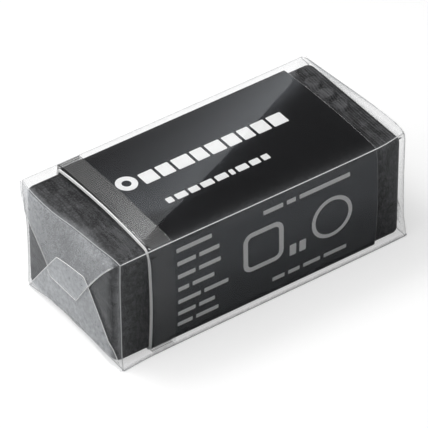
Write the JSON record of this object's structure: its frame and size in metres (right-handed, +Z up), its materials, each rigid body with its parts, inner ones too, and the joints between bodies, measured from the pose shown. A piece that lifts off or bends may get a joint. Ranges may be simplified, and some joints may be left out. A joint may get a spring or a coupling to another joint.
{
  "type": "vinyl eraser",
  "caption": "Black vinyl block eraser in a folded card sleeve, overwrapped in clear film with a tear tape, for rubbing out pencil.",
  "frame": {"origin": "centre of the flat underside of the film, on the surface that the eraser lies on", "axes": "+X along the eraser's length, with the tear tape at its -X end, +Y towards the film's lap seam, +Z up through the sleeve's printed top"},
  "size_m": [0.0356, 0.0171, 0.0134],
  "materials": {
    "vinyl": "matte, fine moulded grain",
    "sleeve_card": null,
    "tape": "thin grey tape with a fine mesh",
    "film": "clear glossy film, pale at its creases"
  },
  "bodies": {
    "root": {"eraser_block": "vinyl", "card_sleeve": "sleeve_card", "tear_tape": "tape", "film_wrap": "film"}
  },
  "joints": []
}
